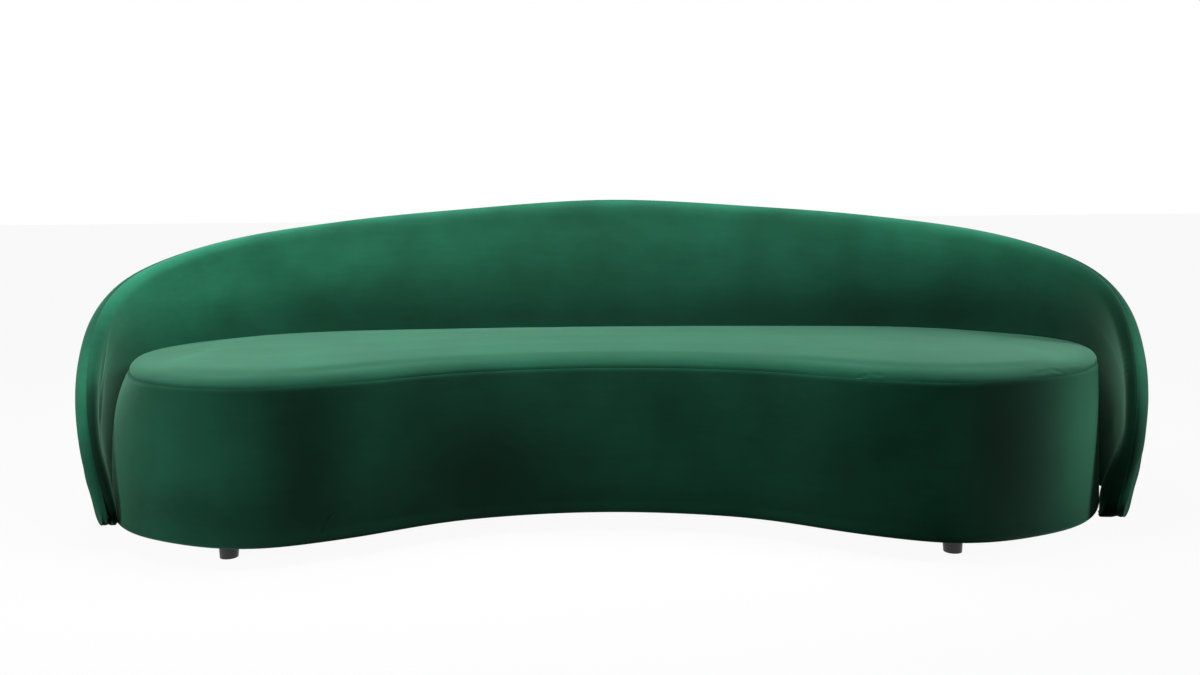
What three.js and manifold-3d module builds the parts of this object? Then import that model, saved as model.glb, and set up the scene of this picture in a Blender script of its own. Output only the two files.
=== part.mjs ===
// A curved three-seat sofa: a kidney-shaped upholstered seat on short feet, and a separate
// wrap-round back whose outline is an arch that falls to a rounded nose at each end.
// Millimetres, +Z up, +X to the sitter's left along the length, the sitter faces -Y.

import * as THREE from 'three';
import Module from 'manifold-3d';
import { mergeVertices } from 'three/addons/utils/BufferGeometryUtils.js';

const wasm = await Module();
wasm.setup();

// Layers, from the outside in
const fit = 0.3; // gap that touching pieces keep
const velvetThickness = 2.4;
const sideFoamThickness = 12;
const wallBoardThickness = 4;
const dustCoverThickness = 1;
const underLap = 32; // width of velvet turned under the seat unit
const lapRounding = 9; // rounding where the velvet turns under

// Seat unit in plan: half of its outline, as shares of half the length and of the depth
const seatLength = 2450;
const seatDepth = 872;
const seatOffset = -16; // the seat unit stands this far off the middle of the back
const seatOutlineShares = [
  [0, 0.283], [0.268, 0.221], [0.488, 0.058], [0.63, 0], [0.772, 0.05], [0.882, 0.146], [0.963, 0.306],
  [1, 0.49], [0.963, 0.656], [0.837, 0.813], [0.65, 0.925], [0.366, 0.985], [0, 1],
];
const frontCorner = 4; // the points of the outline where a long side meets an end
const rearCorner = 9;

// Seat unit in height
const footHeight = 41;
const seamHeight = 388; // seam between side band and seat panel, above the floor
const edgeRise = 26; // rounded edge of the seat above the seam
const edgeRounding = 45; // its width
const crownRise = 7; // rise from the rounded edge to the middle of the seat
const leanIn = 45; // the left end leans in this far at the seam, from the foam's underside up
const leanReach = 290; // how far from the left end the lean fades out
const seatFoamDrop = 90; // underside of the seat foam below the seam

// Seat frame
const plyThickness = 18;
const frameRingWidth = 95;
const postSize = 45;
const postStandOff = 5; // from the wall board, which is curved
const postChainShares = { front: [0.14, 0.5, 0.86], end: [0.5], rear: [0.08, 0.36, 0.64, 0.92] };
const bearerWidth = 70;
const bearerHeight = 28;
const bearerPlaceShares = [-0.5, 0, 0.5];
const bearerLap = 45; // length of a bearer that lies on the frame ring
const footBlockSize = 110;
const strapWidth = 60;
const strapThickness = 2;
const strapCount = 7;
const strapSpanShare = 0.75; // of the seat's length, from the first strap's middle to the last one's
const strapLap = 40; // length of a strap that lies on the frame ring

// Feet
const footTopRadius = 23;
const footBottomRadius = 20;
const footInset = 84; // middle of a foot to the edge of the seat
const frontFootShares = [-0.683, 0.63]; // of half the seat's length, from the middle of the seat
const rearFootShares = [-0.656, 0.65];
const studRadius = 4;
const studSeat = 30; // depth of the stud in the foot

// Back unit: its outline laid out flat, as shares of the reach from the middle and of the rise
const backHeight = 788;
const backReach = 1750;
const backThickness = 84;
const noseThickness = 47;
const backOutlineShares = [
  [0, 1], [0.263, 0.966], [0.457, 0.924], [0.629, 0.861], [0.737, 0.791], [0.805, 0.726], [0.867, 0.632],
  [0.925, 0.51], [0.974, 0.39], [1.01, 0.265], [1.038, 0.13], [1.052, 0.045], [1.015, 0],
];
const noseStart = 7; // the point of the outline where the nose begins
const crestRounding = 42;
const hemRounding = 16; // rounding of the lower edge
const hemRise = 120; // height over which the lower edge's rounding grows to the crest's
const leastRounding = 1;
const leanBack = 45; // how far the top of the back leans out behind
const tuckIn = 20; // how far the outside is drawn in at the foot of the noses
const endGap = 20; // gap between back and seat at the foot of the ends
const flare = 27; // what that gap gains
const flareHeight = 350; // up to this height
const insideFoamThickness = 18;
const outsideFoamThickness = 12;
const backBoardThickness = 3;
const layerGap = 0.6; // gap between the back's layers, which draw together towards the noses
const foamParting = 2; // gap between the two foams under the edge seam
const coreStandOff = 10; // from the straight frame pieces to the curved boards
const railWidth = 42;
const bottomRailShares = [0.09, 0.91]; // ends of the rails along the back's long sides
const archRailShares = [0.07, 0.93];
const uprightWidth = 60;
const uprightPlay = 0.8; // gap above an upright, whose top meets a curved rail
const freeUprightShares = [-0.75, 0.75]; // uprights that no bolt goes into

// Bolts that join the two units
const boltRadius = 5;
const boltHeadRadius = 11;
const boltHeadHeight = 5;
const boltHeight = 170;
const boltGrip = 22; // length of the bolt in the back's upright
const boreClearance = 0.5;
const cutOverrun = 2;

// Steps of the meshes
const seatSideSteps = 18;
const seatEndSteps = 7;
const backSideSteps = 34;
const backEndSteps = 7;
const fineSteps = 240;
const rodSteps = 12;
const footSteps = 24;
const edgeAngles = [0, Math.PI / 6, Math.PI / 3, Math.PI / 2];
const coarseAngles = [0, Math.PI / 3, Math.PI / 2];
const flatAngle = Math.PI / 2;
const weldTolerance = 1e-4;

const clamped = THREE.MathUtils.clamp;
const underside = footHeight + fit + dustCoverThickness + fit;
const seatTop = seamHeight + edgeRise + crownRise;

const finish = (color, roughness, metalness = 0) =>
  new THREE.MeshStandardMaterial({ color, roughness, metalness });
const velvet = finish(0x1d5a45, 0.9);
const paleFoam = finish(0xe9dfc2, 0.95);
const plywood = finish(0xc69c6a, 0.7);
const hardboard = finish(0x8a623c, 0.75);
const blackCloth = finish(0x151515, 0.95);
const webbing = finish(0x2b2b2e, 0.85);
const blackPlastic = finish(0x0d0d0d, 0.45);
const zincSteel = finish(0xb4b8ba, 0.35, 1);

const sofa = new THREE.Group();

function addPiece(name, geometry, material) {
  const piece = new THREE.Mesh(geometry, material);
  piece.name = name;
  sofa.add(piece);
  return piece;
}

// Points at even distances along a stretch of a curve, without the last one
function evenPoints(curve, start, end, count) {
  const fine = [];
  for (let i = 0; i <= fineSteps; i++) {
    fine.push(curve.getPoint((start + ((end - start) * i) / fineSteps) % 1));
  }
  const reach = [0];
  for (let i = 1; i <= fineSteps; i++) reach.push(reach[i - 1] + fine[i].distanceTo(fine[i - 1]));
  const points = [];
  for (let n = 0, i = 0; n < count; n++) {
    const wanted = (reach[fineSteps] * n) / count;
    while (reach[i + 1] < wanted) i++;
    const share = (wanted - reach[i]) / (reach[i + 1] - reach[i]);
    points.push(fine[i].clone().lerp(fine[i + 1], share));
  }
  return points;
}

// A closed outline, anticlockwise: a lower side, an end, an upper side and the other end. Each
// point has the direction inwards and a point of the spine that runs midway between the sides.
function makePlan(lower, right, upper, left) {
  const outline = [...lower, ...right, ...upper, ...left];
  const total = outline.length;
  const side = lower.length;
  const inward = outline.map((point, k) => {
    const along = outline[(k + 1) % total].clone().sub(outline[(k + total - 1) % total]);
    return new THREE.Vector3(-along.y, along.x, 0).normalize();
  });
  const middle = (i) => {
    const low = i < side ? lower[i] : right[0];
    const high = i > 0 ? upper[side - i] ?? left[0] : left[0];
    return low.clone().add(high).multiplyScalar(1 / 2);
  };
  const spine = outline.map((point, k) => {
    if (k < side) return middle(k);
    if (k < side + right.length) return middle(side);
    if (k < side + right.length + side) return middle(2 * side + right.length - k);
    return middle(0);
  });
  return { outline, inward, spine, total, side, end: right.length };
}

// The point of a plan at a place along its outline, set in by a distance and then drawn a share
// of the way to the spine
function planPoint(plan, place, inset, toSpine = 0) {
  const k = Math.floor(place) % plan.total;
  const next = (k + 1) % plan.total;
  const share = place - Math.floor(place);
  const inward = plan.inward[k].clone().lerp(plan.inward[next], share).normalize();
  const point = plan.outline[k].clone().lerp(plan.outline[next], share).addScaledVector(inward, inset);
  return point.lerp(plan.spine[k].clone().lerp(plan.spine[next], share), toSpine);
}

function signedVolume(corners) {
  let sum = 0;
  for (let i = 0; i < corners.length; i += 3) {
    sum += corners[i].dot(new THREE.Vector3().crossVectors(corners[i + 1], corners[i + 2]));
  }
  return sum;
}

// A closed solid from its quads, with doubled corners dropped and its faces pointing out
function solidFromQuads(quads) {
  const corners = [];
  const same = (a, b) => a.distanceTo(b) < weldTolerance;
  const addTriangle = (a, b, c) => {
    if (!same(a, b) && !same(b, c) && !same(c, a)) corners.push(a, b, c);
  };
  for (const [a, b, c, d] of quads) {
    addTriangle(a, b, c);
    addTriangle(a, c, d);
  }
  if (signedVolume(corners) < 0) corners.reverse();
  const loose = new THREE.BufferGeometry().setFromPoints(corners);
  const geometry = mergeVertices(loose, weldTolerance);
  geometry.computeVertexNormals();
  return geometry;
}

// A solid between two stacks of rings. Each stack starts at the rim and ends on the spine.
function layeredSolid(plan, upperRings, lowerRings, place) {
  const corner = ({ insetAt, height, toSpine }, k) => {
    const at = k % plan.total;
    return place(planPoint(plan, at, insetAt(at), toSpine), height);
  };
  const quads = [];
  const skin = (rings, facesUp) => {
    for (let j = 0; j + 1 < rings.length; j++) {
      for (let k = 0; k < plan.total; k++) {
        const [outerStart, outerEnd] = [corner(rings[j], k), corner(rings[j], k + 1)];
        const [innerStart, innerEnd] = [corner(rings[j + 1], k), corner(rings[j + 1], k + 1)];
        quads.push(facesUp
          ? [outerStart, outerEnd, innerEnd, innerStart]
          : [outerStart, innerStart, innerEnd, outerEnd]);
      }
    }
  };
  skin(upperRings, true);
  skin(lowerRings, false);
  for (let k = 0; k < plan.total; k++) {
    const low = [corner(lowerRings[0], k), corner(lowerRings[0], k + 1)];
    const high = [corner(upperRings[0], k), corner(upperRings[0], k + 1)];
    quads.push([low[0], low[1], high[1], high[0]]);
  }
  return solidFromQuads(quads);
}

// A section of insets and heights swept along a plan's outline, all the way round or from one
// place to another
function sweptBand(plan, section, place, from, to) {
  const closed = from === undefined;
  const places = [];
  if (closed) {
    for (let k = 0; k <= plan.total; k++) places.push(k % plan.total);
  } else {
    places.push(from);
    for (let k = Math.floor(from) + 1; k < to; k++) places.push(k);
    places.push(to);
  }
  const sections = places.map((at) => section.map(({ inset, height }) =>
    place(planPoint(plan, at, inset), height)));
  const sides = sections[0].length;
  const quads = [];
  for (let n = 0; n + 1 < sections.length; n++) {
    for (let i = 0; i < sides; i++) {
      const j = (i + 1) % sides;
      quads.push([sections[n][i], sections[n][j], sections[n + 1][j], sections[n + 1][i]]);
    }
  }
  if (!closed) {
    const [a, b, c, d] = sections[0];
    const [e, f, g, h] = sections[sections.length - 1];
    quads.push([d, c, b, a], [e, f, g, h]);
  }
  return solidFromQuads(quads);
}

const rectangle = (insets, heights) => [
  { inset: insets[0], height: heights[0] },
  { inset: insets[1], height: heights[0] },
  { inset: insets[1], height: heights[1] },
  { inset: insets[0], height: heights[1] },
];

function toManifold(geometry) {
  const bare = new THREE.BufferGeometry();
  bare.setAttribute('position', geometry.getAttribute('position').clone());
  if (geometry.index) bare.setIndex(geometry.index.clone());
  const merged = mergeVertices(bare, weldTolerance);
  return new wasm.Manifold(new wasm.Mesh({
    numProp: 3,
    vertProperties: new Float32Array(merged.getAttribute('position').array),
    triVerts: new Uint32Array(merged.index.array),
  }));
}

// A geometry with bores cut out of it
function bored(geometry, bores) {
  let solid = toManifold(geometry);
  for (const bore of bores) solid = solid.subtract(toManifold(bore));
  const mesh = solid.getMesh();
  const result = new THREE.BufferGeometry();
  result.setAttribute('position', new THREE.BufferAttribute(mesh.vertProperties, 3));
  result.setIndex(new THREE.BufferAttribute(mesh.triVerts, 1));
  result.computeVertexNormals();
  return result;
}

// A rod between two points
function rod(radius, start, end) {
  const along = end.clone().sub(start);
  const geometry = new THREE.CylinderGeometry(radius, radius, along.length(), rodSteps);
  const upright = new THREE.Vector3(0, 1, 0);
  geometry.applyQuaternion(new THREE.Quaternion().setFromUnitVectors(upright, along.clone().normalize()));
  const middle = start.clone().lerp(end, 1 / 2);
  return geometry.translate(middle.x, middle.y, middle.z);
}

// Mirrors half of an outline, given as shares, into a closed or open run of points
function mirrored(halfShares, width, height, low) {
  const right = halfShares.map(([x, y]) => new THREE.Vector3(x * width, low + y * height, 0));
  const left = right.slice(1).filter((point) => point.x > 0);
  return { right, left: left.reverse().map((point) => new THREE.Vector3(-point.x, point.y, 0)) };
}

const seatHalves = mirrored(seatOutlineShares, seatLength / 2, seatDepth, 0);
const seatPoints = [...seatHalves.right, ...seatHalves.left];
const seatCurve = new THREE.CatmullRomCurve3(seatPoints, true, 'centripetal');
const seatTurn = (point) => point / seatPoints.length;

function makeSeatPlan() {
  const last = seatPoints.length;
  const sides = [
    evenPoints(seatCurve, seatTurn(last - frontCorner), seatTurn(last + frontCorner), seatSideSteps),
    evenPoints(seatCurve, seatTurn(frontCorner), seatTurn(rearCorner), seatEndSteps),
    evenPoints(seatCurve, seatTurn(rearCorner), seatTurn(last - rearCorner), seatSideSteps),
    evenPoints(seatCurve, seatTurn(last - rearCorner), seatTurn(last - frontCorner), seatEndSteps),
  ];
  for (const point of sides.flat()) point.x += seatOffset;
  return makePlan(...sides);
}

const seatPlan = makeSeatPlan();

const seatFoamBottom = seamHeight - seatFoamDrop;

// Where a point of the plan stands at a height: the left end leans in above the frame
function seatPlace(point, height) {
  const end = seatOffset - seatLength / 2;
  const nearness = 1 - THREE.MathUtils.smoothstep(point.x, end, end + leanReach);
  const rise = clamped((height - seatFoamBottom) / seatFoamDrop, 0, 1);
  return new THREE.Vector3(point.x + leanIn * nearness * rise, point.y, height);
}

const seatRing = (inset, height, toSpine = 0) => ({ insetAt: () => inset, height, toSpine });

// Rings over the seat's rounded edge and crown, a depth below the velvet's face
function seatTopRings(depth, angles, crownShares) {
  const rings = angles.map((angle) => seatRing(
    depth + (edgeRounding - depth) * (1 - Math.cos(angle)),
    seamHeight + (edgeRise - depth) * Math.sin(angle),
  ));
  const top = seamHeight + edgeRise - depth;
  for (const share of crownShares) {
    rings.push(seatRing(edgeRounding, top + crownRise * share * (2 - share), share));
  }
  return rings;
}

const sideBoardInset = velvetThickness + fit + sideFoamThickness + fit;
const seatFrameInset = sideBoardInset + wallBoardThickness + fit;
const frameBottom = underside + velvetThickness + fit;
const frameTop = seatFoamBottom - fit - strapThickness - fit;
const plyTop = frameBottom + plyThickness;

// The four stretches of the seat's outline that a wall is made in
const seatStretches = [
  ['front', 0, seatPlan.side],
  ['right', seatPlan.side, seatPlan.side + seatPlan.end],
  ['rear', seatPlan.side + seatPlan.end, 2 * seatPlan.side + seatPlan.end],
  ['left', 2 * seatPlan.side + seatPlan.end, seatPlan.total],
];

// Where a place along the outline lies when it is moved along by a length
function movedAlong(plan, place, length) {
  const k = Math.floor(place) % plan.total;
  const step = plan.outline[k].distanceTo(plan.outline[(k + 1) % plan.total]);
  return place + length / step;
}

function wallPiece(insets, heights, from, to) {
  const start = movedAlong(seatPlan, from, fit);
  const end = movedAlong(seatPlan, to - 1, -fit) + 1;
  return sweptBand(seatPlan, rectangle(insets, heights), seatPlace, start, end);
}

// The front or rear edge of the seat at a place along its length
function seatEdge(x, rear) {
  const first = rear ? seatPlan.side + seatPlan.end : 0;
  for (let k = first; k < first + seatPlan.side; k++) {
    const a = seatPlan.outline[k];
    const b = seatPlan.outline[(k + 1) % seatPlan.total];
    if ((a.x - x) * (b.x - x) <= 0) return a.y + ((b.y - a.y) * (x - a.x)) / (b.x - a.x);
  }
  throw new Error('the place lies past the seat\'s long sides');
}

// The back follows the rear and the ends of the seat. It nearly touches in the middle and
// stands off by the end gap at the ends.
function makeBackPath() {
  const points = [];
  const last = seatPoints.length;
  for (let n = 2 * frontCorner + 1; n <= 2 * (last - frontCorner) - 1; n++) {
    const turn = seatTurn(n / 2);
    const point = seatCurve.getPoint(turn);
    const along = seatCurve.getTangent(turn);
    const outward = new THREE.Vector3(along.y, -along.x, 0).normalize();
    const share = Math.min(Math.abs(point.x) / (seatLength / 2), 1);
    const gap = fit + (endGap - fit) * share ** 1.5;
    points.push(point.addScaledVector(outward, backThickness / 2 + gap));
  }
  return new THREE.CatmullRomCurve3(points.reverse(), false, 'centripetal');
}

const backPath = makeBackPath();
const backPathLength = backPath.getLength();

const backHalves = mirrored(backOutlineShares, backReach, backHeight - underside, underside);
const crestPoints = [...backHalves.right.slice().reverse(), ...backHalves.left.slice().reverse()];
const crestCurve = new THREE.CatmullRomCurve3(crestPoints, false, 'centripetal');

function makeBackPlan() {
  const last = crestPoints.length - 1;
  const rightCorner = crestPoints[0];
  const leftCorner = crestPoints[last];
  const nose = backOutlineShares.length - 1 - noseStart;
  const lower = [];
  for (let i = 0; i < backSideSteps; i++) {
    lower.push(leftCorner.clone().lerp(rightCorner, i / backSideSteps));
  }
  return makePlan(
    lower,
    evenPoints(crestCurve, 0, nose / last, backEndSteps),
    evenPoints(crestCurve, nose / last, 1 - nose / last, backSideSteps),
    evenPoints(crestCurve, 1 - nose / last, 1 - weldTolerance, backEndSteps),
  );
}

const backPlan = makeBackPlan();

// Shares of the way to a nose, and of the way from the flare's height down to the foot
const reachAt = (point) => clamped(Math.abs(point.x) / backReach, 0, 1) ** 2;
const dropAt = (point) => clamped((flareHeight - point.y) / (flareHeight - underside), 0, 1) ** 2;

// The back's thickness draws in towards the noses and, on the outside, towards their foot
function thicknessAt(point) {
  const lost = backThickness - noseThickness + tuckIn * dropAt(point);
  return backThickness - lost * reachAt(point);
}

// A point of the back: its place in the flat outline, and its height on the sitter's side of
// the middle surface
function backPlace(point, height) {
  const turn = clamped(1 / 2 + point.x / backPathLength, 0, 1);
  const on = backPath.getPointAt(turn);
  const along = backPath.getTangentAt(turn);
  const rise = clamped((point.y - seatTop) / (backHeight - seatTop), 0, 1);
  const reach = reachAt(point);
  const shift = leanBack * rise ** 1.5 * (1 - reach) + flare * reach ** 1.5 * (1 - dropAt(point));
  const depth = (backThickness / 2 - height) * (thicknessAt(point) / backThickness);
  const out = shift - backThickness / 2 + depth;
  return new THREE.Vector3(on.x - along.y * out, on.y + along.x * out, point.y);
}

const roundingAt = (k) => {
  const point = backPlan.outline[k];
  const rise = clamped((point.y - underside) / hemRise, 0, 1);
  const full = hemRounding + (crestRounding - hemRounding) * rise;
  return (full * thicknessAt(point)) / backThickness;
};

// Rings from the edge seam over the rounded edge to the flat, a depth below the velvet's face,
// on the sitter's side (1) or behind (-1)
function backRings(side, depth, angles, spineShares, parting) {
  const ring = (angle, toSpine) => ({
    insetAt: (k) => depth + Math.max(roundingAt(k) - depth, leastRounding) * (1 - Math.cos(angle)),
    height: side * Math.max(parting / 2, fit / 2 + (backThickness / 2 - depth) * Math.sin(angle)),
    toSpine,
  });
  return [...angles.map((angle) => ring(angle, 0)), ...spineShares.map((share) => ring(flatAngle, share))];
}

function backLayer(side, depth, thickness, angles, spineShares, parting = layerGap) {
  const face = backRings(side, depth, angles, spineShares, parting);
  const reverse = backRings(side, depth + thickness, angles, spineShares, parting);
  return side > 0 ? layeredSolid(backPlan, face, reverse, backPlace)
    : layeredSolid(backPlan, reverse, face, backPlace);
}

const foamDepth = velvetThickness + layerGap;
const insideBoardDepth = foamDepth + insideFoamThickness + layerGap;
const outsideBoardDepth = foamDepth + outsideFoamThickness + layerGap;
const insideCoreDepth = insideBoardDepth + backBoardThickness + coreStandOff;
const outsideCoreDepth = outsideBoardDepth + backBoardThickness + coreStandOff;

// The heights between which the back's frame lies
const coreHeights = [outsideCoreDepth - backThickness / 2, backThickness / 2 - insideCoreDepth];

const coreInset = crestRounding + fit;

function backRail(from, to) {
  const start = movedAlong(backPlan, from, fit);
  const end = movedAlong(backPlan, to - 1, -fit) + 1;
  const section = rectangle([coreInset, coreInset + railWidth], coreHeights);
  return sweptBand(backPlan, section, backPlace, start, end);
}

// The underside of the arch rail at a place along the back
function archUnderside(s) {
  const first = backPlan.side + backPlan.end;
  for (let k = first; k < first + backPlan.side; k++) {
    const a = planPoint(backPlan, k, coreInset + railWidth);
    const b = planPoint(backPlan, k + 1, coreInset + railWidth);
    if ((a.x - s) * (b.x - s) <= 0) return a.y + ((b.y - a.y) * (s - a.x)) / (b.x - a.x);
  }
  throw new Error('the place lies past the arch rail');
}

// An upright of the back's frame, from the bottom rail to the arch rail
function upright(middle) {
  const low = underside + coreInset + railWidth + fit;
  const steps = [0, 1 / 3, 2 / 3, 1];
  const sections = steps.map((share) => {
    const corners = [];
    for (const [edge, face] of [[-1, 0], [1, 0], [1, 1], [-1, 1]]) {
      const s = middle + (edge * uprightWidth) / 2;
      const point = new THREE.Vector3(s, low + (archUnderside(s) - uprightPlay - low) * share, 0);
      corners.push(backPlace(point, coreHeights[face]));
    }
    return corners;
  });
  const quads = [[...sections[0]].reverse(), sections[steps.length - 1]];
  for (let n = 0; n + 1 < steps.length; n++) {
    for (let i = 0; i < 4; i++) {
      const j = (i + 1) % 4;
      quads.push([sections[n][i], sections[n][j], sections[n + 1][j], sections[n + 1][i]]);
    }
  }
  return solidFromQuads(quads);
}

// The place along the back that lies nearest to a point in plan
function nearestAlongBack(target) {
  let best = 0;
  for (let i = 0; i <= 4 * fineSteps; i++) {
    const turn = i / (4 * fineSteps);
    const distance = backPath.getPointAt(turn).distanceTo(target);
    if (distance < backPath.getPointAt(best).distanceTo(target)) best = turn;
  }
  return (best - 1 / 2) * backPathLength;
}

// Places of the posts and of the joining bolts
function chainPlaces(stretch, shares) {
  const [, from, to] = seatStretches[stretch];
  return shares.map((share) => from + (to - from) * share);
}

const rearPosts = chainPlaces(2, postChainShares.rear);
const postPlaces = [
  ...chainPlaces(0, postChainShares.front),
  ...chainPlaces(1, postChainShares.end),
  ...rearPosts,
  ...chainPlaces(3, postChainShares.end),
];

const postInset = seatFrameInset + postStandOff + postSize / 2;
const postBottom = plyTop + fit;
const postTop = frameTop - plyThickness - fit;

const bolts = rearPosts.map((place) => {
  const edge = planPoint(seatPlan, place, 0);
  const outward = edge.clone().sub(planPoint(seatPlan, place, postInset)).normalize();
  const at = (distance) => edge.clone().addScaledVector(outward, distance).setZ(boltHeight);
  const s = nearestAlongBack(at(backThickness / 2).setZ(0));
  const on = backPath.getPointAt(1 / 2 + s / backPathLength);
  const toPath = on.clone().sub(edge).dot(outward);
  const headSeat = -(postInset + postSize / 2 + fit);
  const tip = toPath - backThickness / 2 + insideCoreDepth + boltGrip;
  return { at, s, headSeat, tip };
});

const boltBores = bolts.map(({ at, headSeat, tip }) =>
  rod(boltRadius + boreClearance, at(headSeat - cutOverrun), at(tip + cutOverrun)));

// Feet: the middle of each, in plan, and the bores of their studs
function footMiddles() {
  const along = (share) => seatOffset + (share * seatLength) / 2;
  const [frontLeft, frontRight] = frontFootShares
    .map(along)
    .map((x) => new THREE.Vector3(x, seatEdge(x, false) + footInset, 0));
  const [rearLeft, rearRight] = rearFootShares
    .map(along)
    .map((x) => new THREE.Vector3(x, seatEdge(x, true) - footInset, 0));
  const middleEdges = [seatEdge(seatOffset, false), seatEdge(seatOffset, true)];
  const middle = new THREE.Vector3(seatOffset, (middleEdges[0] + middleEdges[1]) / 2, 0);
  return Object.entries({
    front_left: frontLeft,
    front_right: frontRight,
    rear_left: rearLeft,
    rear_right: rearRight,
    middle,
  });
}

const feet = footMiddles();
const studTop = plyTop - cutOverrun;
const studBores = feet.map(([, middle]) => rod(
  studRadius + boreClearance,
  middle.clone().setZ(footHeight - cutOverrun),
  middle.clone().setZ(studTop + boreClearance),
));

function addSeatUpholstery() {
  const spineShares = [0.5, 1];
  addPiece('seat_top_cover', layeredSolid(
    seatPlan,
    seatTopRings(0, edgeAngles, spineShares),
    seatTopRings(velvetThickness, edgeAngles, spineShares),
    seatPlace,
  ), velvet);

  const turn = lapRounding * (1 - Math.SQRT1_2);
  const innerTurn = turn + velvetThickness * Math.SQRT1_2;
  const sideSection = [
    { inset: 0, height: seamHeight - fit },
    { inset: 0, height: seatFoamBottom },
    { inset: 0, height: underside + lapRounding },
    { inset: turn, height: underside + turn },
    { inset: lapRounding, height: underside },
    { inset: underLap, height: underside },
    { inset: underLap, height: underside + velvetThickness },
    { inset: lapRounding, height: underside + velvetThickness },
    { inset: innerTurn, height: underside + innerTurn },
    { inset: velvetThickness, height: underside + lapRounding },
    { inset: velvetThickness, height: seatFoamBottom },
    { inset: velvetThickness, height: seamHeight - fit },
  ];
  addPiece('seat_side_cover', bored(sweptBand(seatPlan, sideSection, seatPlace), boltBores), velvet);

  const foamDepthUnderTop = velvetThickness + fit;
  addPiece('seat_foam', layeredSolid(
    seatPlan,
    [seatRing(foamDepthUnderTop, seatFoamBottom), ...seatTopRings(foamDepthUnderTop, coarseAngles, [1])],
    [seatRing(foamDepthUnderTop, seatFoamBottom), seatRing(foamDepthUnderTop, seatFoamBottom, 1)],
    seatPlace,
  ), paleFoam);

  const dustBottom = footHeight + fit;
  const dustSheet = (height) => [seatRing(underLap / 2, height), seatRing(underLap / 2, height, 1)];
  const dustCover = layeredSolid(
    seatPlan,
    dustSheet(dustBottom + dustCoverThickness),
    dustSheet(dustBottom),
    seatPlace,
  );
  addPiece('seat_dust_cover', bored(dustCover, studBores), blackCloth);

  const foamHeights = [underside + lapRounding + fit, seatFoamBottom - fit];
  const foamSection = rectangle([foamDepthUnderTop, sideBoardInset - fit], foamHeights);
  addPiece('seat_side_foam', bored(sweptBand(seatPlan, foamSection, seatPlace), boltBores), paleFoam);
  const boardInsets = [sideBoardInset, sideBoardInset + wallBoardThickness];
  for (const [name, from, to] of seatStretches) {
    const board = wallPiece(boardInsets, [frameBottom, frameTop], from, to);
    addPiece(`seat_wall_board_${name}`, name === 'rear' ? bored(board, boltBores) : board, hardboard);
  }
}

function addSeatFrame() {
  const ringInsets = [seatFrameInset, seatFrameInset + frameRingWidth];
  const bottomRing = sweptBand(seatPlan, rectangle(ringInsets, [frameBottom, plyTop]), seatPlace);
  addPiece('seat_bottom_frame', bored(bottomRing, studBores), plywood);
  const topHeights = [frameTop - plyThickness, frameTop];
  addPiece('seat_top_frame', sweptBand(seatPlan, rectangle(ringInsets, topHeights), seatPlace), plywood);

  postPlaces.forEach((place, n) => {
    const middle = planPoint(seatPlan, place, postInset);
    const edge = planPoint(seatPlan, place, 0);
    const post = new THREE.BoxGeometry(postSize, postSize, postTop - postBottom);
    post.rotateZ(Math.atan2(edge.y - middle.y, edge.x - middle.x));
    post.translate(middle.x, middle.y, (postBottom + postTop) / 2);
    addPiece(`seat_post_${n + 1}`, rearPosts.includes(place) ? bored(post, boltBores) : post, plywood);
  });

  bearerPlaceShares.forEach((share, n) => {
    const x = seatOffset + (share * seatLength) / 2;
    const inner = seatFrameInset + frameRingWidth - bearerLap;
    const ends = [seatEdge(x, false) + inner, seatEdge(x, true) - inner];
    const bearer = new THREE.BoxGeometry(bearerWidth, ends[1] - ends[0], bearerHeight);
    const piece = addPiece(`seat_bearer_${n + 1}`, bearer, plywood);
    piece.position.set(x, (ends[0] + ends[1]) / 2, plyTop + fit + bearerHeight / 2);
  });

  const block = new THREE.BoxGeometry(footBlockSize, footBlockSize, plyThickness);
  const middleFoot = feet[feet.length - 1][1];
  block.translate(middleFoot.x, middleFoot.y, frameBottom + plyThickness / 2);
  addPiece('middle_foot_block', bored(block, studBores), plywood);

  for (let n = 0; n < strapCount; n++) {
    const x = seatOffset + seatLength * strapSpanShare * (n / (strapCount - 1) - 1 / 2);
    const inner = seatFrameInset + frameRingWidth - strapLap;
    const ends = [seatEdge(x, false) + inner, seatEdge(x, true) - inner];
    const strap = new THREE.BoxGeometry(strapWidth, ends[1] - ends[0], strapThickness);
    const piece = addPiece(`seat_web_strap_${n + 1}`, strap, webbing);
    piece.position.set(x, (ends[0] + ends[1]) / 2, frameTop + fit + strapThickness / 2);
  }
}

function addFeet() {
  const bore = studRadius + boreClearance;
  const profile = [
    [0, 0],
    [footBottomRadius, 0],
    [footTopRadius, footHeight],
    [bore, footHeight],
    [bore, footHeight - studSeat],
    [0, footHeight - studSeat],
  ].map(([r, z]) => new THREE.Vector2(r, z));
  for (const [name, middle] of feet) {
    const foot = new THREE.LatheGeometry(profile, footSteps).rotateX(Math.PI / 2);
    addPiece(`foot_${name}`, foot, blackPlastic).position.copy(middle);
    const start = middle.clone().setZ(footHeight - studSeat + fit);
    addPiece(`foot_stud_${name}`, rod(studRadius, start, middle.clone().setZ(studTop)), zincSteel);
  }
}

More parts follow.
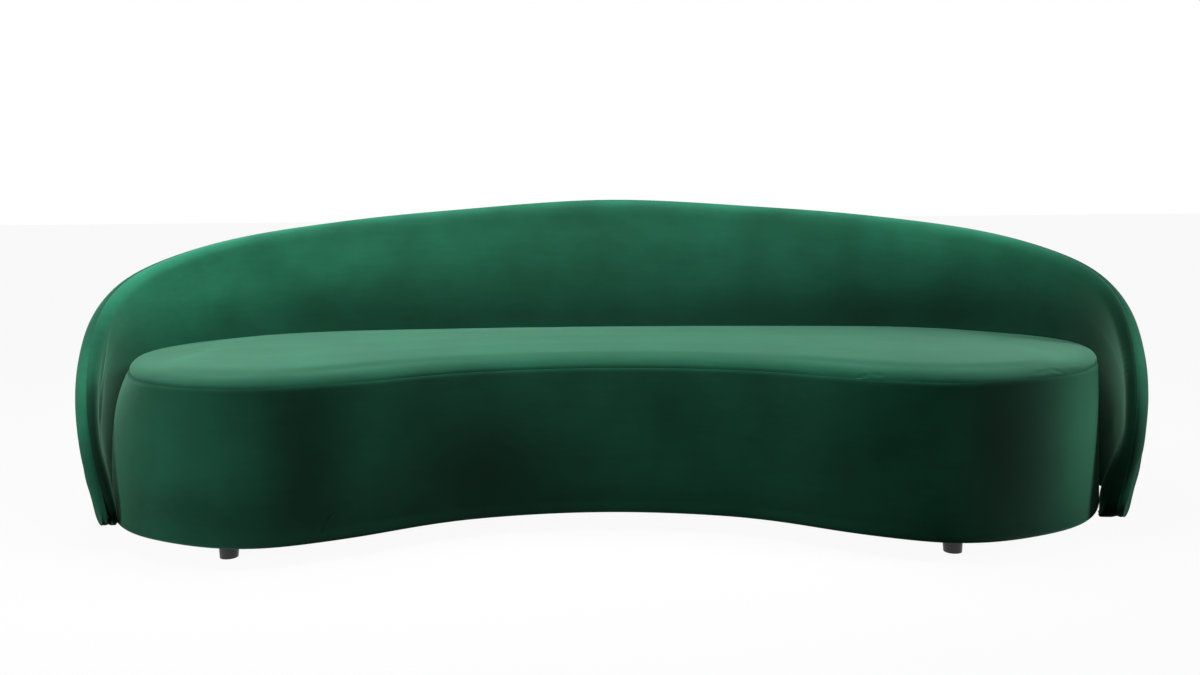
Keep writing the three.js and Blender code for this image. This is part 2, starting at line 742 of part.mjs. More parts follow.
function addBack() {
  const spineShares = [0.5, 1];
  const cover = (side) => backLayer(side, 0, velvetThickness, edgeAngles, spineShares);
  const foam = (side, thickness) =>
    backLayer(side, foamDepth, thickness, edgeAngles, spineShares, foamParting);
  const board = (side, depth) => backLayer(side, depth, backBoardThickness, [flatAngle], spineShares);

  addPiece('back_inside_cover', bored(cover(1), boltBores), velvet);
  addPiece('back_outside_cover', cover(-1), velvet);
  addPiece('back_inside_foam', bored(foam(1, insideFoamThickness), boltBores), paleFoam);
  addPiece('back_outside_foam', foam(-1, outsideFoamThickness), paleFoam);
  addPiece('back_inside_board', bored(board(1, insideBoardDepth), boltBores), hardboard);
  addPiece('back_outside_board', board(-1, outsideBoardDepth), hardboard);

  const top = backPlan.side + backPlan.end;
  const railBetween = (first, shares) => backRail(...shares.map((share) => first + share * backPlan.side));
  addPiece('back_bottom_rail', railBetween(0, bottomRailShares), plywood);
  addPiece('back_arch_rail', railBetween(top, archRailShares), plywood);
  const places = [...bolts.map(({ s }) => s), ...freeUprightShares.map((share) => share * backReach)];
  places.sort((a, b) => a - b);
  places.forEach((s, n) => {
    addPiece(`back_upright_${n + 1}`, bored(upright(s), boltBores), plywood);
  });

  bolts.forEach(({ at, headSeat, tip }, n) => {
    const shank = toManifold(rod(boltRadius, at(headSeat - boltHeadHeight / 2), at(tip)));
    const head = toManifold(rod(boltHeadRadius, at(headSeat - boltHeadHeight), at(headSeat)));
    const mesh = shank.add(head).getMesh();
    const bolt = new THREE.BufferGeometry();
    bolt.setAttribute('position', new THREE.BufferAttribute(mesh.vertProperties, 3));
    bolt.setIndex(new THREE.BufferAttribute(mesh.triVerts, 1));
    bolt.computeVertexNormals();
    addPiece(`joining_bolt_${n + 1}`, bolt, zincSteel);
  });
}

addSeatUpholstery();
addSeatFrame();
addFeet();
addBack();

// The origin is on the floor, in the middle of the sofa's box
const bounds = new THREE.Box3().setFromObject(sofa);
const centre = bounds.getCenter(new THREE.Vector3());
sofa.position.set(-centre.x, -centre.y, 0);

export default sofa;
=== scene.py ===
"""The looks of a curved, green velvet sofa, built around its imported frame.

Four upholstered skins stand for the velvet covers and the foam right under them: the seat's top, the band
round its side, and the inside and the outside of the back shell. The frame, boards, webbing, dust cloth,
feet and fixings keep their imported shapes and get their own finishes.
"""

import math

import bmesh
import bpy
import numpy as np
from mathutils import Matrix, Vector
from mathutils.bvhtree import BVHTree
from mathutils.kdtree import KDTree


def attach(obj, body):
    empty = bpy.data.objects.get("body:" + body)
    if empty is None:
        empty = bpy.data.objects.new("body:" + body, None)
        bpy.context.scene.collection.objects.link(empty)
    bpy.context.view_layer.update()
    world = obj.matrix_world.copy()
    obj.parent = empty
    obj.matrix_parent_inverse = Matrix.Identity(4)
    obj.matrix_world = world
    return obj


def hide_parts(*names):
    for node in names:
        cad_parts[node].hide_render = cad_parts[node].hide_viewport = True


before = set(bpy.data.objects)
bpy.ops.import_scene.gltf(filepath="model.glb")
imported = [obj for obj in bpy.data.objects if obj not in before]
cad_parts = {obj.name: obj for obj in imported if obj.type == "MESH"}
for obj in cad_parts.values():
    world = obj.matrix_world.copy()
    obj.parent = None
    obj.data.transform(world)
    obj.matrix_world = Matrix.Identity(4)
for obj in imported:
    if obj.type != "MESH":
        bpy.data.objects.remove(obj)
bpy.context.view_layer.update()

MM = 0.001
VELVET_THICKNESS = 2.4 * MM
SEAM_HEIGHT = 388 * MM
UNDERSIDE = 43 * MM
PICTURE_WIDTH = 1200
PICTURE_HEIGHT = 675


# Camera

SENSOR = 36.0
LENS = 31.5
HORIZON_ROW = 200
EYE = Vector((-0.005, -2.7425, 0.786))
TURN = math.radians(0.33)
TILT = math.radians(-0.58)


def place_camera():
    """A level camera at eye height, straight in front of the seat, with its frame shifted down."""
    data = bpy.data.cameras.new("camera")
    data.sensor_width = SENSOR
    data.lens = LENS
    data.shift_y = (HORIZON_ROW - PICTURE_HEIGHT / 2) / PICTURE_WIDTH
    camera = bpy.data.objects.new("camera", data)
    bpy.context.scene.collection.objects.link(camera)
    level = Matrix.Rotation(math.pi / 2, 4, "X")
    turned = Matrix.Rotation(TURN, 4, "Z") @ level @ Matrix.Rotation(TILT, 4, "Z")
    camera.matrix_world = Matrix.Translation(EYE) @ turned
    bpy.context.scene.camera = camera
    return camera


camera = place_camera()


def sight_line(column, row):
    """The direction, in the frame, in which the camera sees a place of the 1200 by 675 picture."""
    reach = LENS / SENSOR * PICTURE_WIDTH
    ray = Vector(((column - PICTURE_WIDTH / 2) / reach, (HORIZON_ROW - row) / reach, -1))
    return (camera.matrix_world.to_3x3() @ ray).normalized()


# Upholstery: the shapes

def surface_of(name):
    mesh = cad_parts[name].data
    return BVHTree.FromPolygons([v.co for v in mesh.vertices], [p.vertices for p in mesh.polygons])


def rim_edges(cloth):
    return [edge for edge in cloth.edges if edge.is_boundary]


def shown_skin(cover, *neighbours):
    """The side of a cover that shows, as a net of four-sided faces, with the bolt holes in it closed."""
    cloth = bmesh.new()
    cloth.from_mesh(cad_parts[cover].data)
    bmesh.ops.remove_doubles(cloth, verts=cloth.verts, dist=0.02 * MM)
    cloth.normal_update()
    near = [surface_of(name) for name in neighbours]

    def hidden(face):
        middle = face.calc_center_median()
        return any(tree.ray_cast(middle, face.normal, 4 * MM)[0] for tree in near)

    bmesh.ops.delete(cloth, geom=[f for f in cloth.faces if hidden(f)], context="FACES")
    closed = bmesh.ops.holes_fill(cloth, edges=rim_edges(cloth), sides=30)["faces"]
    ring = list({vertex for face in closed for vertex in face.verts})
    if ring:
        bmesh.ops.dissolve_verts(cloth, verts=ring)
        bmesh.ops.triangulate(cloth, faces=[f for f in cloth.faces if len(f.verts) > 4])
    bmesh.ops.join_triangles(
        cloth,
        faces=cloth.faces,
        angle_face_threshold=math.radians(40),
        angle_shape_threshold=math.radians(60),
    )
    return cloth


def as_object(name, cloth):
    mesh = bpy.data.meshes.new(name)
    cloth.to_mesh(mesh)
    cloth.free()
    piece = bpy.data.objects.new(name, mesh)
    bpy.context.scene.collection.objects.link(piece)
    return piece


def points_of(mesh, kind="co"):
    values = np.zeros(len(mesh.vertices) * 3, np.float32)
    source = mesh.vertices if kind == "co" else mesh.vertex_normals
    source.foreach_get(kind if kind == "co" else "vector", values)
    return values.reshape(-1, 3).astype(float)


def set_points(mesh, points):
    mesh.vertices.foreach_set("co", points.astype(np.float32).ravel())
    mesh.update()


def applied(piece):
    """The piece's mesh with its modifiers in it, as a mesh of its own."""
    bpy.context.view_layer.update()
    depsgraph = bpy.context.evaluated_depsgraph_get()
    return bpy.data.meshes.new_from_object(piece.evaluated_get(depsgraph))


def rim_points(piece):
    """Which points lie on the open rim of a piece."""
    uses = {}
    for face in piece.data.polygons:
        for key in face.edge_keys:
            uses[key] = uses.get(key, 0) + 1
    on_rim = np.zeros(len(piece.data.vertices), bool)
    on_rim[[index for key, count in uses.items() if count == 1 for index in key]] = True
    return on_rim


def neighbours_of(mesh):
    """Each edge of a mesh twice, once from either end, and how many edges meet in each point."""
    ends = np.zeros(len(mesh.edges) * 2, np.int32)
    mesh.edges.foreach_get("vertices", ends)
    here, there = np.concatenate([ends.reshape(-1, 2), ends.reshape(-1, 2)[:, ::-1]]).T
    return here, there, np.bincount(here, minlength=len(mesh.vertices))


def evened(mesh, values, share, rounds):
    """Draws each point's values towards the mean of its neighbours'."""
    here, there, count = neighbours_of(mesh)
    for _ in range(rounds):
        sums = [np.bincount(here, column[there], len(values)) for column in values.T]
        values = values + share[:, None] * (np.stack(sums, 1) / count[:, None] - values)
    return values


def eased(share):
    """A share from 0 to 1 with a soft start and a soft end."""
    share = np.clip(share, 0, 1)
    return share * share * (3 - 2 * share)


def gaps_to(points, others):
    """How far each point is from the nearest of the others."""
    tree = KDTree(len(others))
    for index, other in enumerate(others):
        tree.insert(other, index)
    tree.balance()
    return np.array([tree.find(point)[2] for point in points])


HUB_REACH = 45 * MM
FOLD_REACH = 30 * MM
TURNED_EDGE = 100 * MM
TURNED_EDGE_BEHIND = 66 * MM


def unfolded(piece):
    """Evens the cloth round the places, above its turned lower edge, where the subdivided net lies
    folded over itself."""
    _, depth, height = points_of(piece.data).T
    above = height > np.where(depth > 0, TURNED_EDGE_BEHIND, TURNED_EDGE)
    free = (above & ~rim_points(piece)).astype(float)
    for _ in range(3):
        points = points_of(piece.data)
        flat = piece.data.copy()
        set_points(flat, evened(flat, points, free, 12))
        agreement = (points_of(piece.data, "normal") * points_of(flat, "normal")).sum(axis=1)
        bpy.data.meshes.remove(flat)
        folded = (agreement < 0) & (free > 0)
        if not folded.any():
            return
        nearness = eased(1.5 * (1 - gaps_to(points, points[folded]) / FOLD_REACH))
        set_points(piece.data, evened(piece.data, points, free * nearness, 80))


def smoothed_through(piece, levels):
    """Rounds a coarse net so that the smooth cloth passes through the net's own corners, and evens
    the cloth round the hubs, where many strips of the net meet in one corner."""
    corners = points_of(piece.data)
    hubs = corners[(neighbours_of(piece.data)[2] > 5) & ~rim_points(piece)]
    subdivision = piece.modifiers.new("rounding", "SUBSURF")
    subdivision.levels = subdivision.render_levels = 2
    net = corners.copy()
    for _ in range(3):
        reached = points_of(applied(piece))[: len(corners)]
        net += corners - reached
        set_points(piece.data, net)
    subdivision.levels = subdivision.render_levels = levels
    piece.data = applied(piece)
    piece.modifiers.clear()
    points = points_of(piece.data)
    nearness = np.zeros(len(points))
    for hub in hubs:
        nearness = np.maximum(nearness, 1 - np.linalg.norm(points - hub, axis=1) / HUB_REACH)
    set_points(piece.data, evened(piece.data, points, eased(nearness), 25))
    return piece


def graded(net, longest):
    """Cuts a net's long strips, which run along its rim, into strips of more even width."""
    depth = {vertex: 0 for edge in rim_edges(net) for vertex in edge.verts}
    reached = list(depth)
    for vertex in reached:
        for edge in vertex.link_edges:
            other = edge.other_vert(vertex)
            if other not in depth:
                depth[other] = depth[vertex] + 1
                reached.append(other)
    strips = {}
    for edge in net.edges:
        low, high = sorted(depth[vertex] for vertex in edge.verts)
        if high == low + 1:
            strips.setdefault(low, []).append(edge)
    for across in strips.values():
        width = sorted(edge.calc_length() for edge in across)[len(across) // 2]
        if width > longest:
            bmesh.ops.subdivide_edges(net, edges=across, cuts=math.ceil(width / longest) - 1)
    return net


# The lean of the seat's left end, towards the seam
SEAT_END = -1241 * MM
LEAN_REACH = 290 * MM
LEAN = 45 * MM


def lean_at(x, height):
    along = max(0.0, min(1.0, (x - SEAT_END) / LEAN_REACH))
    rise = max(0.0, min(1.0, (height - UNDERSIDE) / (SEAM_HEIGHT - UNDERSIDE)))
    return LEAN * (1 - along * along * (3 - 2 * along)) * rise**4.5


def upright_place(x):
    """Where a point of the seam would be along the sofa if the end didn't lean."""
    upright = x
    for _ in range(20):
        upright = x - lean_at(upright, SEAM_HEIGHT)
    return upright


# The rows of the seat's side: how far in from the wall, and how high, in millimetres
SIDE_ROWS = [(0, 372), (0, 345), (0, 310), (0, 270), (0, 220), (0, 165), (0, 115), (0, 80), (0, 60)]
SIDE_ROWS += [(0.8, 50), (3.6, 45.2), (9, 43), (18, 42.8), (32, 42.8)]


def side_band(top):
    """The band round the seat, drawn down from the seam, turned under and in along the underside."""
    band = top.copy()
    ring = rim_edges(band)
    old = list(band.faces)
    above = {vertex for edge in ring for vertex in edge.verts}
    outward = {v: Vector((v.normal.x, v.normal.y, 0)).normalized() for v in above}
    upright = {v: Vector((upright_place(v.co.x), v.co.y, 0)) for v in above}
    for inset, height in SIDE_ROWS:
        made = bmesh.ops.extrude_edge_only(band, edges=ring)["geom"]
        corners = {part for part in made if isinstance(part, bmesh.types.BMVert)}
        for corner in corners:
            ends = (edge.other_vert(corner) for edge in corner.link_edges)
            source = next(end for end in ends if end in above)
            outward[corner], upright[corner] = outward[source], upright[source]
            place = upright[corner] - outward[corner] * inset * MM
            lean = lean_at(upright[corner].x, height * MM)
            corner.co = (place.x + lean, place.y, height * MM)
        ring = [e for e in band.edges if e.verts[0] in corners and e.verts[1] in corners]
        above = corners
    bmesh.ops.delete(band, geom=old, context="FACES")
    bmesh.ops.recalc_face_normals(band, faces=band.faces)
    return band


SMOOTH_LEVELS = 2
STRIP = 36 * MM
BACK_STRIP = 56 * MM
inside_net = shown_skin("back_inside_cover", "back_inside_foam", "back_outside_cover")
outside_net = shown_skin("back_outside_cover", "back_outside_foam", "back_inside_cover")
top_net = shown_skin("seat_top_cover", "seat_foam", "seat_side_cover")
band_net = side_band(top_net)
seat_top = smoothed_through(as_object("seat_top", graded(top_net, STRIP)), SMOOTH_LEVELS)
seat_side = smoothed_through(as_object("seat_side", band_net), SMOOTH_LEVELS)
back_inside = smoothed_through(as_object("back_inside", graded(inside_net, BACK_STRIP)), SMOOTH_LEVELS)
back_outside = smoothed_through(as_object("back_outside", graded(outside_net, BACK_STRIP)), SMOOTH_LEVELS)
unfolded(back_inside)
unfolded(back_outside)


def near_to(points, other):
    """How far each point is from another piece's surface."""
    mesh = other.data
    tree = BVHTree.FromPolygons([v.co for v in mesh.vertices], [p.vertices for p in mesh.polygons])
    return np.array([tree.find_nearest(Vector(point))[3] for point in points])


def swollen(piece, held, most, frames=10):
    """Lets pressure swell the cloth between the places where it is held, by no more than the given length."""
    before = points_of(piece.data)
    group = piece.vertex_groups.new(name="held")
    for index, share in enumerate(held):
        if share > 0:
            group.add([index], float(share), "REPLACE")
    cloth = piece.modifiers.new("swelling", "CLOTH")
    cloth.settings.quality = 3
    cloth.settings.mass = 0.3
    cloth.settings.tension_stiffness = cloth.settings.compression_stiffness = 60
    cloth.settings.shear_stiffness = 25
    cloth.settings.bending_stiffness = 3
    cloth.settings.use_pressure = True
    cloth.settings.uniform_pressure_force = 4
    cloth.settings.effector_weights.gravity = 0
    cloth.settings.vertex_group_mass = "held"
    cloth.point_cache.frame_start, cloth.point_cache.frame_end = 1, frames
    for number in range(1, frames + 1):
        bpy.context.scene.frame_set(number)
    after = points_of(applied(piece))
    piece.modifiers.clear()
    piece.vertex_groups.clear()
    bpy.context.scene.frame_set(1)
    move = evened(piece.data, after - before, 1 - held, 14)
    size = np.linalg.norm(move, axis=1, keepdims=True)
    move *= most * np.tanh(size / most) / np.maximum(size, 1e-9)
    set_points(piece.data, before + move)
    return piece


def swollen_between_seams(piece, neighbours, most, end_share):
    """Swells a piece, held at its rim, near the floor and where it lies against its neighbours. Its
    ends, past 900 mm from the middle, swell by a share only."""
    points = points_of(piece.data)
    held = np.maximum(rim_points(piece), points[:, 2] < 75 * MM).astype(float)
    for other in neighbours:
        held = np.maximum(held, np.clip((30 * MM - near_to(points, other)) / (20 * MM), 0, 1))
    held = np.maximum(held, eased((abs(points[:, 0]) - 900 * MM) / (200 * MM)) * (1 - end_share))
    swollen(piece, held, most)
    finer = piece.modifiers.new("finer", "SUBSURF")
    finer.levels = finer.render_levels = 1
    piece.data = applied(piece)
    piece.modifiers.clear()


swollen_between_seams(seat_top, [back_inside], 5 * MM, 0.3)
swollen_between_seams(seat_side, [back_inside], 7 * MM, 1)
swollen_between_seams(back_inside, [seat_top, seat_side], 15 * MM, 0)
swollen_between_seams(back_outside, [], 9 * MM, 0)


def rim_gaps(piece):
    """How far each point is from the rim of its piece."""
    points = points_of(piece.data)
    return gaps_to(points, points[rim_points(piece)])


# The padding low in the shell's ends: its middle and reach, in millimetres, and how far it fills out
PADDING = (1190, -290, 43)
PADDING_REACH = (220, 150, 150)
PADDING_FILL = 55 * MM


def filled_out(side):
    """Fills the inner cover of one end of the shell out towards the seat, low down and behind its front
    seam, and turns the cover in again under the padding to the edge it had."""
    cloth = bmesh.new()
    cloth.from_mesh(back_inside.data)
    low = [e for e in rim_edges(cloth) if all(v.co.z < 70 * MM and v.co.x * side > 1 for v in e.verts)]
    low = [e for e in low if all(v.co.y < -60 * MM for v in e.verts)]
    kept = len(cloth.verts)
    bmesh.ops.extrude_edge_only(cloth, edges=low)
    cloth.to_mesh(back_inside.data)
    points = points_of(back_inside.data)
    seam = rim_points(back_inside) & (points[:, 2] > 70 * MM)
    from_seam = gaps_to(points, points[seam])
    gap = np.linalg.norm((points / MM - np.array(PADDING) * (side, 1, 1)) / PADDING_REACH, axis=1)
    room = np.maximum(near_to(points, seat_side) - 1.2 * MM, 0)
    shift = np.minimum(PADDING_FILL, room) * eased(1.3 - gap) * eased(from_seam / (45 * MM))
    shift[kept:] = 0
    moving = ((shift > 0) & (from_seam > 3 * MM)).astype(float)
    shift = evened(back_inside.data, shift[:, None], moving, 8)[:, 0]
    points[:, 0] -= side * shift
    set_points(back_inside.data, points)
    cloth.clear()
    cloth.from_mesh(back_inside.data)
    bmesh.ops.remove_doubles(cloth, verts=cloth.verts, dist=0.3 * MM)
    bmesh.ops.recalc_face_normals(cloth, faces=cloth.faces)
    cloth.to_mesh(back_inside.data)
    cloth.free()


filled_out(1)
filled_out(-1)


def tree_of(piece):
    mesh = piece.data
    return BVHTree.FromPolygons([v.co for v in mesh.vertices], [p.vertices for p in mesh.polygons])


def seen_at(tree, column, row):
    """The point of a piece that the camera sees at a place of the picture."""
    return tree.ray_cast(EYE, sight_line(column, row))[0]


def refined(piece, places, reach, cuts):
    """Splits the faces near some points, so that small creases have enough corners."""
    cloth = bmesh.new()
    cloth.from_mesh(piece.data)
    near = set()
    for face in cloth.faces:
        middle = face.calc_center_median()
        if any((middle - place).length < reach for place in places):
            near.update(face.edges)
    bmesh.ops.subdivide_edges(cloth, edges=list(near), cuts=cuts, use_grid_fill=True)
    cloth.to_mesh(piece.data)
    cloth.free()


FINEST = 7 * MM


def creased(piece, lines, width, depth):
    """Sinks soft creases along lines of the picture, each with a raised fold on both its sides. The
    faces near creases narrower than the finest ones that the net can carry are split first."""
    tree = tree_of(piece)
    runs = []
    for line in lines:
        ends = [seen_at(tree, *place) for place in line]
        if None not in ends:
            runs.append(ends)
    if width < FINEST:
        refined(piece, [end for run in runs for end in run], 4 * width + 10 * MM, 2)
    piece.data.update()
    points, normals = points_of(piece.data), points_of(piece.data, "normal")
    for run in runs:
        for start, end in zip(run, run[1:]):
            first, along = np.array(start), np.array(end - start)
            share = np.clip((points - first) @ along / (along @ along), 0, 1)
            gap = np.linalg.norm(points - first - share[:, None] * along, axis=1) / width
            fade = np.sin(np.pi * np.clip((points - first) @ along / (along @ along), 0.02, 0.98))
            shape = -np.exp(-(gap**2)) + 0.55 * np.exp(-((gap - 1.9) ** 2))
            points += normals * (depth * shape * fade * (gap < 5))[:, None]
    set_points(piece.data, points)


def drawn_in(piece, width, depth):
    """Pulls the cloth down beside its seam, as the stitches do."""
    points, normals = points_of(piece.data), points_of(piece.data, "normal")
    pull = depth * np.clip(1 - rim_gaps(piece) / width, 0, 1) ** 2
    set_points(piece.data, points - normals * pull[:, None])


# Creases as the camera sees them, each a line of places in the 1200 by 675 picture
RIM_PUCKERS = [((1123, 350 + 6 * n), (1131, 345 + 6 * n)) for n in range(7)]
CORNER_CREASES = [((1036, 374), (1050, 370), (1066, 373), (1080, 369)), ((856, 378), (870, 374), (886, 376))]
FOOT_CREASES = [((298, 519), (310, 525), (321, 538)), ((334, 512), (326, 524), (322, 537))]
LOW_FOLDS = [((136, 496), (150, 512), (172, 520)), ((160, 500), (180, 517), (204, 530)), ((1004, 522), (1026, 527))]
BACK_FOLDS = [((956, 236), (959, 262), (957, 292))]

creased(back_inside, RIM_PUCKERS, 2.2 * MM, 1.2 * MM)
creased(seat_top, CORNER_CREASES, 5 * MM, 0.9 * MM)
creased(seat_side, FOOT_CREASES, 3 * MM, 1.1 * MM)
creased(seat_side, LOW_FOLDS, 8 * MM, 1.6 * MM)
creased(back_inside, BACK_FOLDS, 9 * MM, 1.2 * MM)
for piece in (seat_top, seat_side, back_inside, back_outside):
    drawn_in(piece, 9 * MM, 2.4 * MM)

# Painted light and shade on the velvet: soft patches that darken or lighten its colour where shade or light falls,
# each given by
# # its middle and its reach along, across and up the sofa, in millimetres, and how many times it doubles the tone
PAINTED_LIGHT_PATCHES = {
    seat_top: [((930, -240, 420), (300, 300, 200), -0.5)],
    seat_side: [
        ((-665, -470, 235), (75, 300, 170), -1.2),
        ((-530, -405, 280), (60, 300, 150), 0.4),
        ((-290, -290, 160), (150, 300, 120), -2),
        ((720, -495, 265), (80, 300, 170), 0.8),
        ((870, -480, 220), (95, 300, 220), -3),
        ((-885, -485, 115), (220, 300, 50), -0.6),
        ((65, -225, 45), (1200, 300, 50), -0.5),
    ],
    back_inside: [
        ((-1210, 85, 530), (280, 400, 170), 1.4),
        ((1055, 245, 675), (280, 300, 80), 0.9),
        ((-760, 330, 640), (350, 300, 90), 0.6),
        ((20, 380, 455), (1500, 400, 60), -0.6),
        ((975, 260, 447), (450, 400, 90), -0.9),
        ((1260, -90, 370), (80, 200, 150), -2),
    ],
    back_outside: [
        ((-1267, -240, 370), (80, 300, 300), 1),
        ((1265, -235, 410), (80, 300, 90), 0.8),
        ((1195, -325, 190), (60, 200, 90), -1.6),
    ],
}
# How far from the seat's side the painted shade in the crevice reaches, and how far from the rim the painted
# highlight on the crest reaches
CREVICE_SHADE_REACH = 120 * MM
CREST_HIGHLIGHT_REACH = 45 * MM


def stroked(piece, patches):
    """Gives each point of a cover a tone of painted light and shade: 1 where none is painted."""
    points = points_of(piece.data)
    doublings = np.zeros(len(points))
    for middle, reach, amount in patches:
        gap = np.linalg.norm((points / MM - middle) / reach, axis=1)
        doublings += amount * np.exp(-(gap**2))
    if piece is back_inside:
        # Painted shade: the inside of the back is darkened low down, where it comes near the seat's side.
        low = eased((SEAM_HEIGHT - points[:, 2]) / (60 * MM))
        doublings -= 2.5 * low * eased(1 - near_to(points, seat_side) / CREVICE_SHADE_REACH)
        # Painted highlight: the inside of the back is lightened high up, near its rim along the crest.
        high = eased((points[:, 2] - 500 * MM) / (200 * MM))
        doublings += 1.2 * high * eased(1 - rim_gaps(piece) / CREST_HIGHLIGHT_REACH)
    tone = piece.data.attributes.new("nap_and_painted_light", "FLOAT", "POINT")
    tone.data.foreach_set("value", (2**doublings).astype(np.float32))


for piece, patches in PAINTED_LIGHT_PATCHES.items():
    stroked(piece, patches)


# Finishes

def srgb(code):
    """A hex colour, as painted, turned linear."""
    parts = [int(code[i : i + 2], 16) / 255 for i in (1, 3, 5)]
    return [p / 12.92 if p <= 0.04045 else ((p + 0.055) / 1.055) ** 2.4 for p in parts] + [1]


def add(tree, kind, settings=None, links=None):
    """Adds a node with its settings, by socket or by property, and the links that feed it."""
    made = tree.nodes.new("ShaderNode" + kind)
    for name, value in (settings or {}).items():
        if isinstance(name, str) and hasattr(made, name):
            setattr(made, name, value)
        else:
            made.inputs[name].default_value = value
    for name, source in (links or {}).items():
        tree.links.new(source, made.inputs[name])
    return made


def new_finish(name):
    """An empty finish with its surface shader, and the object's own places in millimetres."""
    finish = bpy.data.materials.new(name)
    finish.use_nodes = True
    tree = finish.node_tree
    tree.nodes.clear()
    places = add(tree, "TexCoord").outputs["Object"]
    millimetres = add(tree, "VectorMath", {"operation": "SCALE", "Scale": 1000}, {0: places}).outputs[0]
    surface = add(tree, "BsdfPrincipled")
    add(tree, "OutputMaterial", links={"Surface": surface.outputs[0]})
    return finish, tree, surface, millimetres


def ramp(tree, source, stops):
    """Colours or greys along a value."""
    made = add(tree, "ValToRGB", links={0: source})
    elements = made.color_ramp.elements
    while len(elements) < len(stops):
        elements.new(0.5)
    for element, (place, colour) in zip(elements, stops):
        element.position = place
        element.color = srgb(colour)
    return made.outputs[0]


def velvet():
    """Polyester velvet, woven and cropped: deep green looked straight into, pale where the pile is seen from the
    side, with patches and long faint streaks where the pile was stroked, and its colour scaled by painted light and
    shade."""
    finish, tree, surface, mm = new_finish("green_velvet_cropped_pile")
    patches = add(tree, "TexNoise", {"Scale": 1 / 160, "Detail": 3, "Roughness": 0.55}, {"Vector": mm})
    stretched = add(tree, "Mapping", {"Scale": (0.12, 0.5, 1)}, {"Vector": mm})
    streaks = add(
        tree, "TexNoise", {"Scale": 1 / 14, "Detail": 4, "Roughness": 0.6}, {"Vector": stretched.outputs[0]}
    )
    pile = add(tree, "TexNoise", {"Scale": 1 / 1.6, "Detail": 2}, {"Vector": mm})
    nap_and_painted_light = add(tree, "Math", {"operation": "MULTIPLY_ADD", 1: 0.35}, {0: streaks.outputs[0], 2: patches.outputs[0]})
    shade = add(tree, "Math", {"operation": "MULTIPLY_ADD", 1: 0.12}, {0: pile.outputs[0], 2: nap_and_painted_light.outputs[0]})
    colour = ramp(tree, shade.outputs[0], [(0.5, "#164533"), (1.0, "#1b5540")])
    # The base colour is scaled by each cover's painted light and shade.
    stroked_tone = add(tree, "Attribute", {"attribute_name": "nap_and_painted_light"})
    base = add(tree, "VectorMath", {"operation": "SCALE"}, {0: colour, "Scale": stroked_tone.outputs["Fac"]})
    tree.links.new(base.outputs[0], surface.inputs["Base Color"])
    surface.inputs["Roughness"].default_value = 0.95
    surface.inputs["Specular IOR Level"].default_value = 0
    surface.inputs["Sheen Weight"].default_value = 1
    surface.inputs["Sheen Roughness"].default_value = 0.5
    surface.inputs["Sheen Tint"].default_value = srgb("#7cb499")
    bump = add(
        tree, "Bump", {"Strength": 0.35, "Distance": 0.5 * MM}, {"Height": pile.outputs[0]}
    )
    tree.links.new(bump.outputs[0], surface.inputs["Normal"])
    return finish


def plain(name, low, high, grain, roughness, metallic=0, stretch=(1, 1, 1), depth=0.2):
    """A finish whose colour wanders between two tones with a grain of the given size in millimetres."""
    finish, tree, surface, mm = new_finish(name)
    mapped = add(tree, "Mapping", {"Scale": stretch}, {"Vector": mm})
    grains = add(tree, "TexNoise", {"Scale": 1 / grain, "Detail": 5}, {"Vector": mapped.outputs[0]})
    tree.links.new(ramp(tree, grains.outputs[0], [(0.35, low), (0.65, high)]), surface.inputs["Base Color"])
    surface.inputs["Roughness"].default_value = roughness
    surface.inputs["Metallic"].default_value = metallic
    bump = add(tree, "Bump", {"Strength": 0.4, "Distance": depth * MM}, {"Height": grains.outputs[0]})
    tree.links.new(bump.outputs[0], surface.inputs["Normal"])
    return finish


FINISHES = {
    "green_velvet": velvet(),
    "plywood": plain("plywood_sanded_birch", "#c9a572", "#e0c294", 9, 0.6, stretch=(0.15, 1, 1)),
    "hardboard": plain("hardboard_pressed_fibre", "#6f4c31", "#866044", 2.5, 0.7),
    "webbing": plain("webbing_woven_elastic", "#2a2a2c", "#4a4a4c", 3, 0.8),
    "black_dust_cloth": plain("dust_cloth_pressed_fibre", "#101010", "#1d1d1d", 4, 0.95),
    "pale_foam": plain("upholstery_foam_cut_block", "#e6dcc0", "#f1e9d2", 2, 0.9),
    "black_plastic": plain("polypropylene_moulded_black", "#0c0c0c", "#171717", 1.5, 0.42, depth=0.05),
    "zinc_steel": plain("steel_zinc_plated", "#a9abad", "#c6c8c9", 2, 0.35, metallic=1),
}


def dress(piece, finish):
    piece.data.materials.clear()
    piece.data.materials.append(FINISHES[finish])
    for face in piece.data.polygons:
        face.use_smooth = True
    return piece


for piece, stands_for in (
    (seat_top, ("seat_top_cover", "seat_foam")),
    (seat_side, ("seat_side_cover", "seat_side_foam")),
    (back_inside, ("back_inside_cover", "back_inside_foam")),
    (back_outside, ("back_outside_cover", "back_outside_foam")),
):
    thickness = piece.modifiers.new("thickness", "SOLIDIFY")
    thickness.thickness = VELVET_THICKNESS
    thickness.offset = -1
    dress(piece, "green_velvet")
    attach(piece, "root")
    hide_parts(*stands_for)

# What each carried-over piece is made of, by the beginning of its name
MADE_OF = {
    "seat_dust_cover": "black_dust_cloth",
    "seat_wall_board": "hardboard",
    "seat_web_strap": "webbing",
    "foot_stud": "zinc_steel",
    "foot": "black_plastic",
    "back_inside_board": "hardboard",
    "back_outside_board": "hardboard",
    "joining_bolt": "zinc_steel",
}


def finish_of(name):
    known = [start for start in MADE_OF if name.startswith(start)]
    return MADE_OF[max(known, key=len)] if known else "plywood"


for name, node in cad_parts.items():
    for place in node.material_slots:
        place.material = FINISHES[finish_of(name)]


# Studio

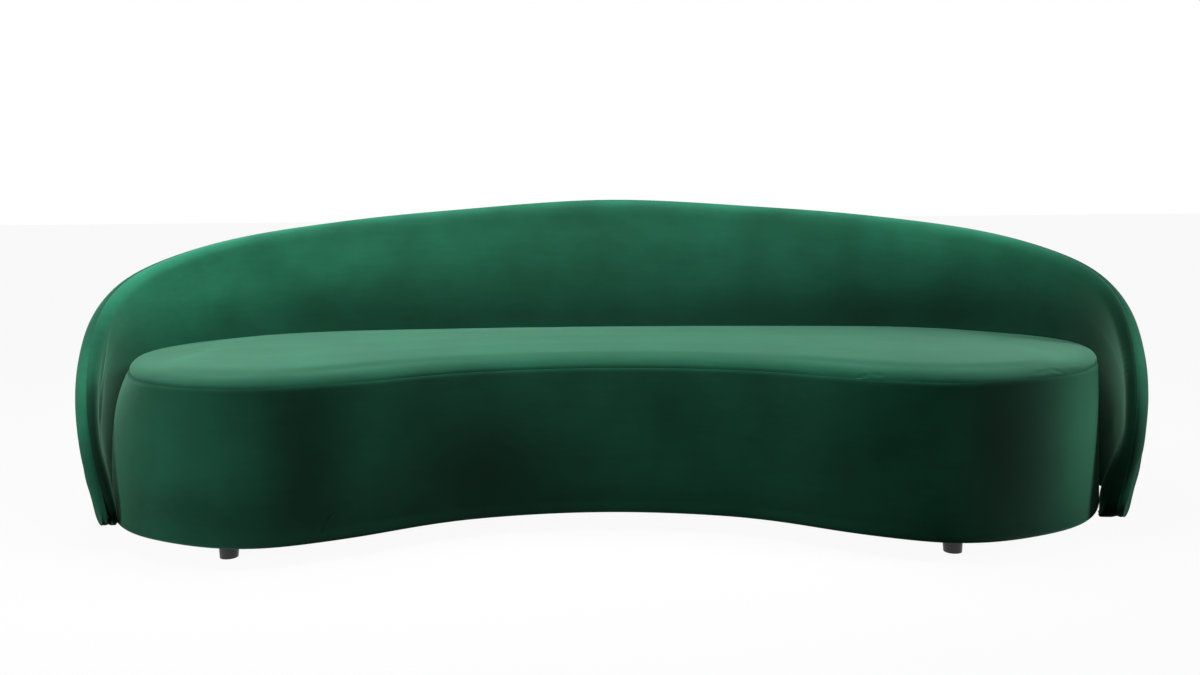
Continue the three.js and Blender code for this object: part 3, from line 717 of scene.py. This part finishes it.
def add_lamp(name, place, aim, width, depth, power, spread=180):
    data = bpy.data.lights.new(name, "AREA")
    data.shape = "RECTANGLE"
    data.size, data.size_y = width, depth
    data.energy = power
    data.spread = math.radians(spread)
    lamp = bpy.data.objects.new(name, data)
    lamp.location = place
    lamp.rotation_euler = (Vector(aim) - Vector(place)).to_track_quat("-Z", "Y").to_euler()
    bpy.context.scene.collection.objects.link(lamp)


def seen_directly(tree, path):
    """1 for rays that show a thing as it is: to the camera, in a gloss or through a clear piece."""
    seen = path.outputs["Is Camera Ray"]
    for kind in ("Is Glossy Ray", "Is Transmission Ray"):
        both = add(tree, "Math", {"operation": "ADD", "use_clamp": True}, {0: seen, 1: path.outputs[kind]})
        seen = both.outputs[0]
    return both


def add_floor():
    """A plain white floor that goes on into the white behind it and keeps a soft shadow."""
    cloth = bmesh.new()
    bmesh.ops.create_grid(cloth, x_segments=1, y_segments=1, size=40)
    floor = as_object("floor", cloth)
    finish = bpy.data.materials.new("floor_white_paint")
    finish.use_nodes = True
    tree = finish.node_tree
    tree.nodes.clear()
    path = add(tree, "LightPath")
    tone = add(
        tree, "Mix", {"data_type": "RGBA", 6: srgb("#565656"), 7: srgb("#f2f2f2")},
        {0: path.outputs["Is Camera Ray"]},
    )
    paint = add(tree, "BsdfDiffuse", links={"Color": tone.outputs[2]})
    white = add(tree, "Emission", {"Color": srgb("#ffffff"), "Strength": 1})
    share = add(tree, "Math", {"operation": "MULTIPLY", 1: 0.94}, {0: seen_directly(tree, path).outputs[0]})
    mix = add(
        tree, "MixShader", links={0: share.outputs[0], 1: paint.outputs[0], 2: white.outputs[0]}
    )
    add(tree, "OutputMaterial", links={"Surface": mix.outputs[0]})
    floor.data.materials.append(finish)


def add_world():
    """White where the camera sees it, and a pale even light elsewhere."""
    world = bpy.data.worlds.new("studio")
    bpy.context.scene.world = world
    world.use_nodes = True
    tree = world.node_tree
    tree.nodes.clear()
    path = add(tree, "LightPath")
    seen = seen_directly(tree, path)
    dim = add(tree, "Background", {"Color": srgb("#ffffff"), "Strength": 0.05})
    white = add(tree, "Background", {"Color": srgb("#ffffff"), "Strength": 1})
    mix = add(tree, "MixShader", links={0: seen.outputs[0], 1: dim.outputs[0], 2: white.outputs[0]})
    add(tree, "OutputWorld", links={"Surface": mix.outputs[0]})


add_floor()
add_world()
add_lamp("overhead_lamp", (-0.2, -0.2, 1.6), (-0.2, -0.1, 0.4), 2.6, 1.1, 41)
add_lamp("left_lamp", (-2.6, -1.9, 0.9), (-1.0, -0.5, 0.25), 0.6, 0.6, 2.7, spread=44)
add_lamp("right_lamp", (2.6, -0.7, 0.9), (1.1, -0.35, 0.3), 0.5, 0.5, 1.0, spread=24)
add_lamp("rear_lamp", (0, 3.0, 1.3), (0, 0.4, 0.35), 3.0, 0.8, 22)

bpy.context.scene.view_settings.view_transform = "Standard"
